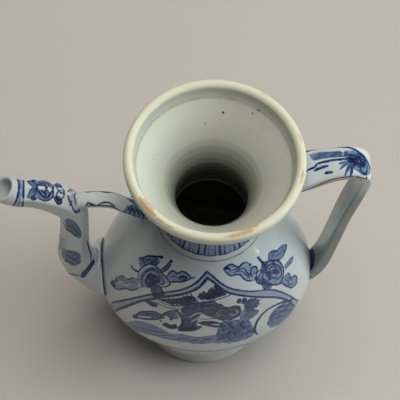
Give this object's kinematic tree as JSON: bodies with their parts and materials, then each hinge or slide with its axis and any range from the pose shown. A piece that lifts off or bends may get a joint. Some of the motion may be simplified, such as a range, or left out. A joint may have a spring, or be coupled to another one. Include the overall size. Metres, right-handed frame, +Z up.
{
  "type": "porcelain ewer",
  "caption": "Pear-shaped pouring ewer, belly pressed flat front and back, with a dished mouth, faceted S-shaped spout, strut and strap handle.",
  "frame": {"origin": "under the middle of the whole ewer's length and depth, on the table", "axes": "+Z up, -X from the handle towards the spout, the painted front faces -Y"},
  "size_m": [0.1878, 0.092, 0.18],
  "materials": {
    "white_glaze": "glossy clear glaze over white porcelain",
    "blue_white_glaze": "glossy bluish glaze with cobalt painting under it",
    "cream_glaze": "glossy cream glaze with tan chips on the lip"
  },
  "bodies": {
    "root": {"foot_ring": "white_glaze", "lower_body": "white_glaze", "upper_body": "blue_white_glaze", "neck": "white_glaze", "dished_mouth": "cream_glaze", "spout_front_half": "blue_white_glaze", "spout_back_half": "blue_white_glaze", "spout_strut": "blue_white_glaze", "handle_upper_strap": "blue_white_glaze", "handle_lower_strap": "white_glaze"}
  },
  "joints": []
}
